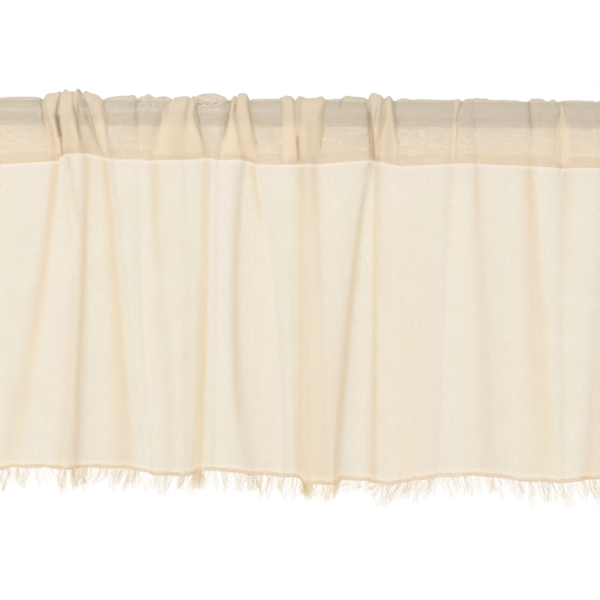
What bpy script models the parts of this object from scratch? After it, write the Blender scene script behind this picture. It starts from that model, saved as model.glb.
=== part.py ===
"""Sheer fringed valance hung by its rod pocket on a plain round rod.

Metres, +Z up. The origin is the centre of the rod's left end face and +X runs along the rod.
The front of the cloth faces -Y.
"""

import math
import random
from collections import namedtuple

import bmesh
import bpy
import numpy as np

MM = 0.001

# Sizes, in metres
ROD_DIAMETER = 0.0254
ROD_LENGTH = 1.200
ROD_SIDES = 32
ROD_EDGE = 0.001
CLOTH_WIDTH = 1.140
CLOTH_THICKNESS = 0.0012
HEM_THICKNESS = 0.0022
SEAM_Z = -0.051
HEM_Z = -0.361
FIT_GAP = 0.0003

# Fringe, in metres
STRIP_GAP = 0.0005
STRIP_HEIGHT = 0.0024
LOCK_PITCH = 0.0058
LOCK_LENGTH = 0.0215
LOCK_SPREAD = (0.82, 1.15)
LOCK_LEAN = (0.05, 0.35)
LOCK_SWAY = 0.0003
LOCK_WAIST = 0.58
LOCK_WAIST_DROP = 0.5
LOCK_SEED = 11

ROD_RADIUS = ROD_DIAMETER / 2
ROD_MIDDLE = ROD_LENGTH / 2

# A fold line runs down the cloth from the top of the rod to the hem. Its places are in mm from
# the middle of the rod. A puff is how far the cloth stands out between the line and the next one,
# and a tuck how far it dips in along the line. Reach is the share of the panel at which the tuck
# has faded, and soft the half width of the step at the line. Lift raises the seam and drop lowers
# the hem. All but reach are in mm.
Fold = namedtuple(
    "Fold",
    "top foot seam mid hem rod_puff seam_puff hem_puff rod_tuck seam_tuck hem_tuck"
    " reach rod_soft hem_soft lift drop",
)
SEEN_FOLDS = [
    Fold(-307, -306, -305, -308, -316, 1.5, 1, 3, 2.0, 1.5, 0.0, 0.5, 3.0, 9, -2, 0),
    Fold(-261, -257, -247, -264, -295, 5.0, 4, 9, 3.0, 2.5, 1.0, 1.0, 3.5, 9, 2, -4),
    Fold(-242, -245, -239, -228, -240, 9.0, 5, 8, 3.5, 1.5, 0.0, 0.5, 2.5, 8, 9, -3),
    Fold(-230, -225, -218, -219, -226, 6.5, 0.5, -7, 2.5, 2.0, 3.5, 1.0, 3.0, 6, 10, -3),
    Fold(-222, -209, -201, -184, -169, 4.5, 3, 3, 2.5, 1.5, 1.5, 1.0, 3.0, 9, 6, -2),
    Fold(-201, -196, -190, -171, -153, 2.5, 0.5, 4, 2.5, 0.5, 0.0, 0.3, 3.0, 9, 4, 0),
    Fold(-166, -165, -164, -158, -146, 3.0, 0, 4, 3.0, 0.3, 0.0, 0.3, 2.5, 9, 4, 3),
    Fold(-131, -142, -151, -137, -131, 3.0, 1, -2, 2.5, 2.5, 0.0, 0.6, 3.5, 8, 3, 3),
    Fold(-112, -116, -117, -116, -117, 4.5, 0, -7, 2.0, 0.6, 0.0, 0.3, 3.0, 7, 4, 5),
    Fold(-107, -102, -94, -97, -102, 5.5, 4, 9, 2.0, 3.0, 4.5, 1.0, 3.0, 6, 6, -2),
    Fold(-73, -74, -83, -83, -84, 3.0, 3, 8, 3.0, 0.5, 0.0, 0.3, 3.0, 8, 4, -3),
    Fold(-66, -66, -57, -65, -47, 6.0, -2, -5, 3.0, 3.0, 2.0, 1.0, 2.5, 7, 4, 1),
    Fold(-53, -50, -45, -24, -16, 1.0, 0, -6, 3.0, 2.5, 0.0, 0.5, 3.0, 8, 0, 4),
    Fold(-18, -18, -20, -10, -4, 3.0, 1, -8, 0.5, 0.0, 0.0, 0.3, 3.5, 6, 0, 4),
    Fold(-7, -5, -1, 6, 7, 4.5, 5, 14, 4.0, 3.0, 0.0, 0.4, 3.0, 8, 0, 8),
    Fold(23, 20, 15, 24, 30, 3.0, 3, 15, 2.0, 1.5, 0.0, 0.4, 3.0, 6, 0, 9),
    Fold(66, 68, 71, 48, 39, 7.5, -3, -4, 3.5, 3.5, 0.0, 0.6, 3.0, 5, 5, 5),
    Fold(82, 80, 75, 77, 75, 4.0, 0, -5, 3.0, 3.5, 4.0, 1.0, 3.0, 6, 4, 8),
    Fold(92, 95, 100, 110, 112, 1.0, 0, 5, 3.0, 0.5, 0.0, 0.3, 3.5, 9, -1, 6),
    Fold(160, 154, 150, 145, 140, 1.5, 1.5, 1, 1.8, 2.0, 0.0, 0.5, 3.0, 9, 2, 1),
    Fold(171, 173, 176, 185, 192, 1.0, 0.0, -4, 1.0, 1.0, 1.5, 1.0, 4.0, 10, 2, 1),
    Fold(225, 228, 231, 238, 250, 2.5, 2, 5, 2.5, 3.0, 2.5, 1.0, 3.0, 9, 0, 5),
    Fold(255, 258, 260, 263, 266, 1.0, 0, 4, 2.5, 2.0, 0.0, 0.4, 3.0, 9, -2, 5),
    Fold(294, 296, 300, 297, 287, 1.5, 1, -3, 1.5, 1.5, 2.0, 1.0, 3.5, 9, -1, 2),
]
# Places where the hem hangs a little lower or higher than between its fold lines, in mm
Dip = namedtuple("Dip", "x drop width")
HEM_DIPS = [
    Dip(-298, 3, 6), Dip(-256, -1, 6), Dip(-234, 1, 7), Dip(-109, 2, 5), Dip(-95, -1, 5),
    Dip(-61, -1, 7), Dip(-44, 1, 6), Dip(7, 2, 4), Dip(36, 2, 5), Dip(68, -1, 5), Dip(92, 4, 14),
    Dip(116, -1, 6), Dip(173, -2, 12), Dip(225, 2, 14),
]
SIDE_FOLD_COUNT = 6
SIDE_FOLD_MARGIN = 16.0
SIDE_FOLD_DRIFT = 12.0

# Between two lines the cloth is crowned by this share of the gap, up to a limit in mm, forwards
# where it stands out by the puff named here or more, in mm, and backwards where it dips by that
# much. A tuck is narrower than the step at its line by the share below.
CROWN_SHARE = 0.10
ROD_CROWN = 1.2
FREE_CROWN = 3.5
CROWNED_PUFF = 2.0
TUCK_WIDTH = 0.7

# The section of the cloth: shares of the panel's fall from the seam, shares of the pocket's rise
# from the seam to where it meets the rod, and angles round the rod from the front to the back.
PANEL_FALLS = [1.0, 0.985, 0.98, 0.76, 0.52, 0.26]
HEM_ROWS = 2
POCKET_RISES = [0.0, 0.15, 0.55]
ROD_ANGLES = [194, 152, 111, 69, 28, -14]
TOP_TURN = 80

# Columns beside a fold line stand this many step widths off it, up to a share of the gap, and a
# gap wider than the limit, in mm, has one more column in its middle.
BESIDE_LINE = 1.3
BESIDE_SHARE = 0.3
WIDE_GAP = 32
Row = namedtuple("Row", "y z out_y out_z rise over fall back")


def smooth(t):
    """An S-curve from 0 to 1."""
    t = np.clip(t, 0, 1)
    return t * t * (3 - 2 * t)


def side_folds(first, last):
    """Plain folds between two places, in mm, for the stretches past the photographed one."""
    folds = []
    pitch = (last - first) / SIDE_FOLD_COUNT
    for i in range(SIDE_FOLD_COUNT):
        side = 1 if i % 2 else -1
        drift = SIDE_FOLD_DRIFT * math.sin(2.3 * i + first)
        x = first + (i + 0.5) * pitch
        reach = 1.0 if i % 3 else 0.5
        folds.append(
            Fold(
                x, x + 0.1 * drift, x + 0.2 * drift, x + 0.5 * drift, x + drift,
                4.0 + 2.5 * side, 2.5 * side, 8.5 * side, 4.5, 3.0, 1.5,
                reach, 3.0, 9.0, 2, -1.5 * side,
            )
        )
    return folds


def all_folds():
    """The fold lines from left to right, with the cloth's side edges as the first and the last."""
    edge = CLOTH_WIDTH / 2 / MM
    left = Fold(-edge, -edge, -edge, -edge, -edge, 1.5, 0, 0, 0, 0, 0, 1, 3, 6, 0, 0)
    right = Fold(edge, edge, edge, edge, edge, 1.5, 0, 0, 0, 0, 0, 1, 3, 6, 0, 0)
    left_folds = side_folds(-edge, SEEN_FOLDS[0].hem - SIDE_FOLD_MARGIN)
    right_folds = side_folds(SEEN_FOLDS[-1].seam + SIDE_FOLD_MARGIN, edge)
    return [left, *left_folds, *SEEN_FOLDS, *right_folds, right]


FOLDS = all_folds()
LINES = Fold(*[np.array(values, float) for values in zip(*FOLDS)])


def section_rows():
    """The rows of the section: up the front from the hem, over the rod, down to the seam."""
    half_step = math.radians(ROD_ANGLES[0] - ROD_ANGLES[1]) / 2
    radius = (ROD_RADIUS + FIT_GAP) / math.cos(half_step) + CLOTH_THICKNESS / 2
    foot = math.radians(ROD_ANGLES[-1])
    foot_y, foot_z = radius * math.cos(foot), radius * math.sin(foot)
    rows = [Row(0, SEAM_Z + f * (HEM_Z - SEAM_Z), -1, 0, 0, 0, f, False) for f in PANEL_FALLS]
    for rise in POCKET_RISES:
        z = SEAM_Z + rise * (foot_z - SEAM_Z)
        rows.append(Row(-rise * foot_y, z, -1, 0, rise, 0, 0, False))
    for angle in ROD_ANGLES:
        out_y, out_z = math.cos(math.radians(angle)), math.sin(math.radians(angle))
        over = (ROD_ANGLES[0] - angle) / TOP_TURN
        rows.append(Row(radius * out_y, radius * out_z, out_y, out_z, 1, over, 0, angle < 90))
    for rise in reversed(POCKET_RISES):
        z = SEAM_Z + rise * (foot_z - SEAM_Z)
        rows.append(Row(rise * foot_y, z, 1, 0, rise, 1, 0, True))
    return rows


def line_places(row):
    """Where each fold line crosses a row, in mm."""
    s = row.fall
    if s > 0:
        upper = LINES.seam * (1 - s) * (1 - 2 * s)
        return upper + LINES.mid * 4 * s * (1 - s) + LINES.hem * s * (2 * s - 1)
    over = min(row.over, 1) * row.rise
    foot = LINES.seam + (LINES.foot - LINES.seam) * row.rise
    return foot + (LINES.top - LINES.foot) * over


def line_forms(row):
    """Each fold line's puff, tuck and softness on a row, in mm."""
    s = row.fall
    if s > 0:
        puff = LINES.seam_puff + (LINES.hem_puff - LINES.seam_puff) * smooth(0.1 + 0.9 * s)
        tuck = LINES.seam_tuck * (1 - smooth(s / LINES.reach)) + LINES.hem_tuck * smooth(s)
        return puff, tuck, LINES.rod_soft + (LINES.hem_soft - LINES.rod_soft) * (0.3 + 0.7 * s)
    share = smooth(row.rise)
    puff = LINES.seam_puff + (LINES.rod_puff - LINES.seam_puff) * share
    tuck = LINES.seam_tuck + (LINES.rod_tuck - LINES.seam_tuck) * share
    return puff, tuck, LINES.rod_soft + (LINES.hem_soft - LINES.rod_soft) * 0.3 * (1 - share)


def folded(row, at):
    """How far the cloth stands out on a row, and where it lies along the rod, both in mm.

    A column's whole part is the fold line on its left, and the rest its share of the way to the
    next line.
    """
    places = line_places(row)
    puff, tuck, soft = line_forms(row)
    left = np.minimum(at.astype(int), len(places) - 2)
    share = at - left
    gap = places[left + 1] - places[left]
    x = places[left] + share * gap
    crown = np.minimum(CROWN_SHARE * gap, ROD_CROWN if row.rise == 1 else FREE_CROWN)
    crown *= np.clip(puff[left] / CROWNED_PUFF, -1, 1)
    out = puff[0] + crown * np.sin(math.pi * share)
    for k in range(1, len(places) - 1):
        t = (x - places[k]) / soft[k]
        out += (puff[k] - puff[k - 1]) * (0.5 + 0.5 * np.sin(math.pi / 2 * np.clip(t, -1, 1)))
        out -= tuck[k] * np.exp(-((t / TUCK_WIDTH) ** 2))
    return out, x


def cloth_rows(at):
    """The middle surface of the cloth, in metres, as a row of points for each row of the section."""
    index = np.arange(len(FOLDS))
    lift = np.interp(at, index, LINES.lift)
    drop = np.interp(at, index, LINES.drop)
    rows = section_rows()
    seam_out = folded(rows[len(PANEL_FALLS)], at)[0]
    surface = []
    for row in rows:
        out, x = folded(row, at)
        if row.rise > 0.5:
            out = np.maximum(out, 0)
        if row.back and row.rise < 1:
            out = out * smooth(row.rise) - seam_out * (1 - smooth(row.rise))
        near_seam = (1 - smooth(row.rise * 1.3)) * (1 - smooth(row.fall * 1.8))
        dips = sum(dip.drop * np.exp(-(((x - dip.x) / dip.width) ** 2)) for dip in HEM_DIPS)
        drops = lift * near_seam - (drop + dips) * row.fall**2
        y = row.y + row.out_y * out * MM
        z = row.z + (row.out_z * out + drops) * MM
        surface.append(np.stack([ROD_MIDDLE + x * MM, y, z], axis=1))
    surface[-1][:, 1] += CLOTH_THICKNESS
    return np.array(surface)


def panel_columns():
    """Columns on and beside each fold line, and one or two in the middle of each gap."""
    at = [0.0]
    for k in range(len(FOLDS) - 1):
        gap = 0.5 * (LINES.hem[k + 1] + LINES.seam[k + 1] - LINES.hem[k] - LINES.seam[k])
        beside = np.minimum(BESIDE_SHARE, LINES.rod_soft[k : k + 2] * BESIDE_LINE / gap)
        start = beside[0] if k else 0
        stop = 1 - beside[1] if k < len(FOLDS) - 2 else 1
        middles = 2 if gap > WIDE_GAP else 1
        at += [k + start] if k else []
        at += [k + start + (stop - start) * (m + 1) / (middles + 1) for m in range(middles)]
        at += [k + stop] if stop < 1 else []
        at.append(k + 1.0)
    return np.array(at)


def facing(surface):
    """Unit normals of the cloth's middle surface, turned to its outer side."""
    along = np.gradient(surface, axis=1)
    up = np.gradient(surface, axis=0)
    normal = np.cross(along, up)
    normal[:, [0, -1], 0] = 0
    normal[0, :, 2] = 0
    return normal / np.linalg.norm(normal, axis=2, keepdims=True)


def cloth_faces(columns):
    """The outer and inner faces of the cloth, a row of points for each row of the section."""
    surface = cloth_rows(columns)
    normal = facing(surface)
    outer = surface + normal * CLOTH_THICKNESS / 2
    inner = surface - normal * CLOTH_THICKNESS / 2
    inner[:HEM_ROWS] -= normal[:HEM_ROWS] * (HEM_THICKNESS - CLOTH_THICKNESS)
    return outer, inner


def add_object(name, bm, colour, roughness, metallic=0.0):
    """Makes a mesh into a named object with a material of its own."""
    bmesh.ops.recalc_face_normals(bm, faces=bm.faces)
    mesh = bpy.data.meshes.new(name)
    bm.to_mesh(mesh)
    bm.free()
    material = bpy.data.materials.new(name)
    material.use_nodes = True
    shader = material.node_tree.nodes["Principled BSDF"]
    shader.inputs["Base Color"].default_value = (*colour, 1)
    shader.inputs["Roughness"].default_value = roughness
    shader.inputs["Metallic"].default_value = metallic
    mesh.materials.append(material)
    mesh.shade_smooth()
    mesh.set_sharp_from_angle(angle=math.radians(40))
    obj = bpy.data.objects.new(name, mesh)
    bpy.context.scene.collection.objects.link(obj)
    return obj


def add_band(bm, first, second):
    """A band of faces between two rows of points."""
    for a, b, c, d in zip(first, first[1:], second[1:], second):
        bm.faces.new((a, b, c, d))


def make_panel():
    """The cloth: one solid whose pocket is a tunnel closed by the seam."""
    outer, inner = cloth_faces(panel_columns())
    seam = len(PANEL_FALLS)
    last = len(outer) - 1
    bm = bmesh.new()
    outside = [[bm.verts.new(p) for p in row] for row in [*outer, *inner[seam::-1]]]
    tunnel = [[bm.verts.new(p) for p in row] for row in inner[seam + 1 : last]]
    for loop in (outside, tunnel):
        for first, second in zip(loop, loop[1:] + loop[:1]):
            add_band(bm, first, second)
    for end in (0, -1):
        out = [row[end] for row in outside]
        hole = [row[end] for row in tunnel]
        back = out[last + 1 :][::-1]
        add_band(bm, out[: seam + 1], back)
        add_band(bm, out[seam + 1 : last], hole)
        bm.faces.new((*out[seam : seam + 2], hole[0], hole[-1], *out[last - 1 : last + 1], back[seam]))
    return add_object("panel", bm, (0.86, 0.78, 0.65), 0.9)


def cell_edges(front, back):
    """Points along the hem, about a lock apart, that keep every corner of the hem."""
    fronts, backs = [front[0]], [back[0]]
    for f0, f1, b0, b1 in zip(front, front[1:], back, back[1:]):
        cells = max(1, round(float(np.linalg.norm(f1 + b1 - f0 - b0)) / 2 / LOCK_PITCH))
        for i in range(cells):
            share = (i + 1) / cells
            fronts.append(f0 + (f1 - f0) * share)
            backs.append(b0 + (b1 - b0) * share)
    return np.array(fronts), np.array(backs)


def lock_rings(corners, rng, lean):
    """The middle ring and the tip of one lock that tapers down from the four corners of its cell."""
    middle = np.mean(corners, axis=0)
    length = LOCK_LENGTH * rng.uniform(*LOCK_SPREAD)
    tip = np.array([lean, rng.uniform(-LOCK_SWAY, LOCK_SWAY), -length])
    waist = tip * LOCK_WAIST_DROP
    return [middle + waist + (c - middle) * LOCK_WAIST for c in corners], middle + tip


def make_fringe():
    """A narrow strip under the hem with the locks of loose threads hanging from it."""
    outer, inner = cloth_faces(panel_columns())
    front, back = cell_edges(outer[0], inner[0])
    rng = random.Random(LOCK_SEED)
    top = np.array([0, 0, -STRIP_GAP])
    foot = np.array([0, 0, -STRIP_GAP - STRIP_HEIGHT])
    bm = bmesh.new()
    rows = [[bm.verts.new(p) for p in row] for row in (front + foot, front + top, back + top, back + foot)]
    for first, second in zip(rows, rows[1:]):
        add_band(bm, first, second)
    for end in (0, -1):
        bm.faces.new([row[end] for row in rows])
    for i in range(len(front) - 1):
        root = [rows[0][i], rows[0][i + 1], rows[3][i + 1], rows[3][i]]
        width = abs(front[i + 1][0] - front[i][0])
        lean = rng.choice((-1, 1)) * rng.uniform(*LOCK_LEAN) * width
        ring, tip = lock_rings([np.array(v.co) for v in root], rng, lean)
        middle = [bm.verts.new(p) for p in ring]
        point = bm.verts.new(tip)
        for j in range(4):
            bm.faces.new((root[j], root[j - 1], middle[j - 1], middle[j]))
            bm.faces.new((middle[j], middle[j - 1], point))
    return add_object("fringe", bm, (0.90, 0.83, 0.70), 0.9)


def make_rod():
    """The plain round rod, lying along +X from the origin."""
    rings = [
        (0, ROD_RADIUS - ROD_EDGE),
        (ROD_EDGE, ROD_RADIUS),
        (ROD_LENGTH - ROD_EDGE, ROD_RADIUS),
        (ROD_LENGTH, ROD_RADIUS - ROD_EDGE),
    ]
    bm = bmesh.new()
    loops = []
    for x, radius in rings:
        turns = [2 * math.pi * i / ROD_SIDES for i in range(ROD_SIDES)]
        loops.append([bm.verts.new((x, radius * math.cos(a), radius * math.sin(a))) for a in turns])
    for first, second in zip(loops, loops[1:]):
        add_band(bm, first + first[:1], second + second[:1])
    bm.faces.new(loops[0])
    bm.faces.new(loops[-1])
    return add_object("rod", bm, (0.55, 0.56, 0.57), 0.35, 1.0)


def main():
    """Builds the three pieces in an empty scene."""
    for obj in list(bpy.data.objects):
        bpy.data.objects.remove(obj)
    make_rod()
    make_panel()
    make_fringe()


main()
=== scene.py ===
"""The looks of a sheer fringed valance hung by its rod pocket on a plain round rod.

Metres, +Z up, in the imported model's frame: +X runs along the rod and the cloth's front faces -Y.
"""

import math
from collections import namedtuple

import bpy
import numpy as np
from mathutils import Euler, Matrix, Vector


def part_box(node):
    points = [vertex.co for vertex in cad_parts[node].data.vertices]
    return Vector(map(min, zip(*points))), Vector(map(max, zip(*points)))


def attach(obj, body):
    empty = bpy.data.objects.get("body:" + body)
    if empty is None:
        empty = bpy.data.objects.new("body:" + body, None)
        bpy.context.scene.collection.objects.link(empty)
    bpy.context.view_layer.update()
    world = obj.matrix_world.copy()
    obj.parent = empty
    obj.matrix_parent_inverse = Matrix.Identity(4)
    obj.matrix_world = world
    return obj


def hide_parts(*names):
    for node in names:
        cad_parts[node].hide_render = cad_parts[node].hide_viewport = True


MM = 0.001
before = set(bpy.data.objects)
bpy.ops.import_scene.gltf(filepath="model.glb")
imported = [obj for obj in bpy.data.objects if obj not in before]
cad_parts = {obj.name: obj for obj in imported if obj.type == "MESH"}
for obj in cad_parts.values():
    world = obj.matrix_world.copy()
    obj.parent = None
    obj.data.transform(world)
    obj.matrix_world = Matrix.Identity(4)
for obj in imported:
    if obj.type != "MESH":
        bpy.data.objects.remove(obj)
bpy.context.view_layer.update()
ROD_LOW, ROD_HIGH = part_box("rod")
CLOTH_LOW, CLOTH_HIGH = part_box("panel")

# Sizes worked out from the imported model, in metres
ROD_RADIUS = (ROD_HIGH.z - ROD_LOW.z) / 2
ROD_MIDDLE = (ROD_HIGH.x + ROD_LOW.x) / 2
CLOTH_WIDTH = CLOTH_HIGH.x - CLOTH_LOW.x

# The cloth, in metres. The gaps are the sheet's to the rod, the turned-up hem's and the turned-in
# allowance's.
SEAM_Z = -0.051
HEM_Z = -0.361
FLAT_WIDTH = 1.372
SHEET_GAP = 0.0007
HEM_HEIGHT = 0.0030
HEM_GAP = 0.0008
ALLOWANCE = 0.011
ALLOWANCE_FOOT = 0.001
ALLOWANCE_GAP = 0.0009
# Rows of the turned-up hem, down to its foot: the height and the share of the gap
TURNED_ROWS = [(HEM_HEIGHT, 1), (HEM_HEIGHT / 2, 1), (0.0002, 1), (-0.0004, 0.5)]

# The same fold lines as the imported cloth's. Places are in mm from the middle of the rod. A puff
# is how far the cloth stands out between a line and the next one, and a tuck how far it dips in
# along the line. Reach is the share of the panel at which the tuck has faded, and soft the half
# width of the step at the line. Lift raises the seam and drop lowers the hem. All but reach are
# in mm.
Fold = namedtuple(
    "Fold",
    "top foot seam mid hem rod_puff seam_puff hem_puff rod_tuck seam_tuck hem_tuck"
    " reach rod_soft hem_soft lift drop",
)
SEEN_FOLDS = [
    Fold(-307, -306, -305, -308, -316, 1.5, 1, 3, 2, 1.5, 0, 0.5, 3, 9, -2, 0),
    Fold(-261, -257, -247, -264, -295, 5, 4, 9, 3, 2.5, 1, 1, 3.5, 9, 2, -4),
    Fold(-242, -245, -239, -228, -240, 9, 5, 8, 3.5, 1.5, 0, 0.5, 2.5, 8, 9, -3),
    Fold(-230, -225, -218, -219, -226, 6.5, 0.5, -7, 2.5, 2, 3.5, 1, 3, 6, 10, -3),
    Fold(-222, -209, -201, -184, -169, 4.5, 3, 3, 2.5, 1.5, 1.5, 1, 3, 9, 6, -2),
    Fold(-201, -196, -190, -171, -153, 2.5, 0.5, 4, 2.5, 0.5, 0, 0.3, 3, 9, 4, 0),
    Fold(-166, -165, -164, -158, -146, 3, 0, 4, 3, 0.3, 0, 0.3, 2.5, 9, 4, 3),
    Fold(-131, -142, -151, -137, -131, 3, 1, -2, 2.5, 2.5, 0, 0.6, 3.5, 8, 3, 3),
    Fold(-112, -116, -117, -116, -117, 4.5, 0, -7, 2, 0.6, 0, 0.3, 3, 7, 4, 5),
    Fold(-107, -102, -94, -97, -102, 5.5, 4, 9, 2, 3, 4.5, 1, 3, 6, 6, -2),
    Fold(-73, -74, -83, -83, -84, 3, 3, 8, 3, 0.5, 0, 0.3, 3, 8, 4, -3),
    Fold(-66, -66, -57, -65, -47, 6, -2, -5, 3, 3, 2, 1, 2.5, 7, 4, 1),
    Fold(-53, -50, -45, -24, -16, 1, 0, -6, 3, 2.5, 0, 0.5, 3, 8, 0, 4),
    Fold(-18, -18, -20, -10, -4, 3, 1, -8, 0.5, 0, 0, 0.3, 3.5, 6, 0, 4),
    Fold(-7, -5, -1, 6, 7, 4.5, 5, 14, 4, 3, 0, 0.4, 3, 8, 0, 8),
    Fold(23, 20, 15, 24, 30, 3, 3, 15, 2, 1.5, 0, 0.4, 3, 6, 0, 9),
    Fold(66, 68, 71, 48, 39, 7.5, -3, -4, 3.5, 3.5, 0, 0.6, 3, 5, 5, 5),
    Fold(82, 80, 75, 77, 75, 4, 0, -5, 3, 3.5, 4, 1, 3, 6, 4, 8),
    Fold(92, 95, 100, 110, 112, 1, 0, 5, 3, 0.5, 0, 0.3, 3.5, 9, -1, 6),
    Fold(160, 154, 150, 145, 140, 1.5, 1.5, 1, 1.8, 2, 0, 0.5, 3, 9, 2, 1),
    Fold(171, 173, 176, 185, 192, 1, 0, -4, 1, 1, 1.5, 1, 4, 10, 2, 1),
    Fold(225, 228, 231, 238, 250, 2.5, 2, 5, 2.5, 3, 2.5, 1, 3, 9, 0, 5),
    Fold(255, 258, 260, 263, 266, 1, 0, 4, 2.5, 2, 0, 0.4, 3, 9, -2, 5),
    Fold(294, 296, 300, 297, 287, 1.5, 1, -3, 1.5, 1.5, 2, 1, 3.5, 9, -1, 2),
]
# Places where the hem hangs a little lower or higher than between its fold lines, in mm
Dip = namedtuple("Dip", "x drop width")
HEM_DIPS = [
    Dip(-298, 3, 6), Dip(-256, -1, 6), Dip(-234, 1, 7), Dip(-109, 2, 5), Dip(-95, -1, 5),
    Dip(-61, -1, 7), Dip(-44, 1, 6), Dip(7, 2, 4), Dip(36, 2, 5), Dip(68, -1, 5), Dip(92, 4, 14),
    Dip(116, -1, 6), Dip(173, -2, 12), Dip(225, 2, 14),
]
# Plain folds past the photographed ones: how many a side, their margin and drift in mm, how the
# drift varies, and its share at each of the five places
SIDE_FOLD_COUNT = 6
SIDE_FOLD_MARGIN = 16.0
SIDE_FOLD_DRIFT = 12.0
SIDE_FOLD_WAVE = 2.3
SIDE_FOLD_BEND = (0, 0.1, 0.2, 0.5, 1)
# Between two lines the cloth is crowned by a share of their gap, up to so many mm on the rod and off
# it, and fully from this puff on. A tuck's half width is a share of the softness.
CROWN_SHARE = 0.10
ROD_CROWN = 1.2
FREE_CROWN = 3.5
CROWNED_PUFF = 2.0
TUCK_WIDTH = 0.7
# How near to their hem values a puff and a softness are right under the seam
PUFF_START = 0.1
SOFT_START = 0.3
# How quickly a lift fades up the pocket and down the panel, and the share of the pocket's height
# from which the cloth is kept off the rod
LIFT_FADE = (1.3, 1.8)
ROD_CLEAR_FROM = 0.5
# Where the cloth meets the rod at the back and the front and passes over it, in degrees from +Y, and
# the turn within which the fold lines reach their top places
FOOT_ANGLE = -14
HEAD_ANGLE = 194
TOP_ANGLE = 90
TOP_TURN = 80

# Creases of the front in the heading, darkened with painted shade. Each curves through three places, in
# mm from the middle of the rod and from its axis, and has its depth and half width in mm and how deep
# its painted shade is.
Crease = namedtuple("Crease", "x_top z_top x_mid z_mid x_foot z_foot depth width shade")
CREASES = [
    Crease(-264, 17, -260, -2, -255, -28, 0.8, 1.2, 0.24),
    Crease(-241, 15, -245, 1, -245, -5, 0.6, 1.2, 0.27),
    Crease(-244.5, -1, -243.5, -14, -242, -30, 3, 2.3, 0.60),
    Crease(-242, -22, -242, -34, -241.5, -45, 1, 1, 0.54),
    Crease(-229.5, 10, -226.5, -2, -224, -27, 0.8, 1.2, 0.42),
    Crease(-220, 13, -214.5, -9, -198.5, -46, 0.8, 1.2, 0.27),
    Crease(-207.5, 15, -209, 6, -207, -1, 0.8, 1, 0.15),
    Crease(-202, 15, -197.5, -7, -195.5, -46, 0.8, 1.1, 0.20),
    Crease(-166, 16, -166.5, -2, -165, -15, 0.4, 1, 0.18),
    Crease(-134.5, 13, -134.5, 2, -137.5, -12, 0.6, 1.1, 0.24),
    Crease(-112.5, 15, -115.5, -3, -118, -22, 0.4, 1.1, 0.18),
    Crease(-104.5, 12, -106.5, -4, -98, -28, 0.9, 1.2, 0.46),
    Crease(-69.5, 16, -73.5, -5, -80, -32, 0.8, 1.1, 0.27),
    Crease(-56, 17, -50.5, -6, -44.5, -44, 1, 1.2, 0.36),
    Crease(-63.5, 14, -66, 5, -67, -3, 0.6, 1, 0.21),
    Crease(-1, 18, -2, 0, 0, -20, 0.8, 1.1, 0.30),
    Crease(-4.5, -20, -3.5, -38, -2.5, -51, 1, 1.1, 0.66),
    Crease(23.5, 18, 21.5, -2, 17, -46, 0.8, 1.1, 0.30),
    Crease(39.5, 18, 38.5, 9, 39, 2, 0.8, 1, 0.30),
    Crease(66.5, 8, 69.5, -12, 73, -52, 1.2, 1.4, 0.50),
    Crease(76.5, 10, 74, -3, 72, -20, 1, 1, 0.22),
    Crease(83.5, 8, 82.5, -4, 77, -26, 0.8, 1, 0.20),
    Crease(89, 17, 91.5, 0, 95, -25, 0.9, 1.2, 0.36),
    Crease(159, 18, 155.5, 3, 153.5, -14, 0.7, 1, 0.33),
    Crease(225.5, 18, 226.5, 3, 230, -22, 0.8, 1.1, 0.50),
    Crease(255.5, 18, 256.5, 8, 254, -9, 0.5, 1, 0.42),
    Crease(258, 18, 261.5, 3, 266, -16, 0.7, 1, 0.42),
    # Wide, shallow patches of painted shade low in the pocket
    Crease(-252, -6, -251, -30, -250, -54, 0.2, 4, 0.16),
    Crease(-235, -6, -234, -30, -232, -54, 0.2, 5, 0.14),
    Crease(-126, -6, -125, -30, -124, -54, 0.2, 8, 0.10),
    Crease(8, -6, 8, -30, 8, -54, 0.2, 6, 0.24),
    Crease(87, -6, 87, -30, 87, -54, 0.2, 4.5, 0.16),
]
# How quickly a crease deepens from its top and fades to its foot
CREASE_START = 5
CREASE_STOP = 4

# Where the cloth on the rod is bunched up in several layers: the left and right edges, in mm from
# the middle of the rod, over the rod, where the pocket leaves it and at the seam
Bunch = namedtuple("Bunch", "left_top left_foot left_seam right_top right_foot right_seam")
BUNCHES = [
    Bunch(-261, -259, -254, -226, -225, -224),
    Bunch(-219, -210, -200, -202, -197, -195),
    Bunch(-135, -138, -152, -105, -106, -98),
    Bunch(-70, -73, -82, -55, -49, -45),
    Bunch(-18, -18, -19, 24, 21, 16),
    Bunch(64, 68, 71, 90, 93, 96),
    Bunch(153, 152, 150, 159, 154, 152),
    Bunch(255, 255, 254, 258, 265, 268),
]
# A bunch's soft edge in mm, how many times as dense it is, and where it starts and over how much it
# grows, as shares of the pocket's height
BUNCH_EDGE = 2.0
BUNCH_DENSITY = 2.6
BUNCH_REACH = (0.0, 0.3)

# Small humps and dips of the cloth along the top of the rod, with their half widths, in mm, and how
# quickly they fade round the rod
Hump = namedtuple("Hump", "x height width")
HUMPS = [
    Hump(-243, 3, 4), Hump(-235, -3, 3), Hump(-227, 4, 4), Hump(-219, 4, 4),
    Hump(-203, -2.5, 4), Hump(-194, -1, 4), Hump(-171, 2, 4), Hump(-155, 2, 3),
    Hump(-147, -2.5, 4), Hump(-124, -1, 5), Hump(-82, -1.5, 3), Hump(-75, -5, 4),
    Hump(-67, 2, 3), Hump(-19, 3, 4), Hump(6, -3.5, 6), Hump(14, -2, 4),
    Hump(29, -2.5, 4), Hump(37, -2.5, 4), Hump(45, 1.2, 4), Hump(77, -2, 4),
    Hump(101, 1.8, 5), Hump(157, 2, 4), Hump(173, 2.6, 5), Hump(182, 2, 4),
    Hump(221, -2, 3), Hump(245, -3.5, 4),
]
HUMP_FADE = 1.5

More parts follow.
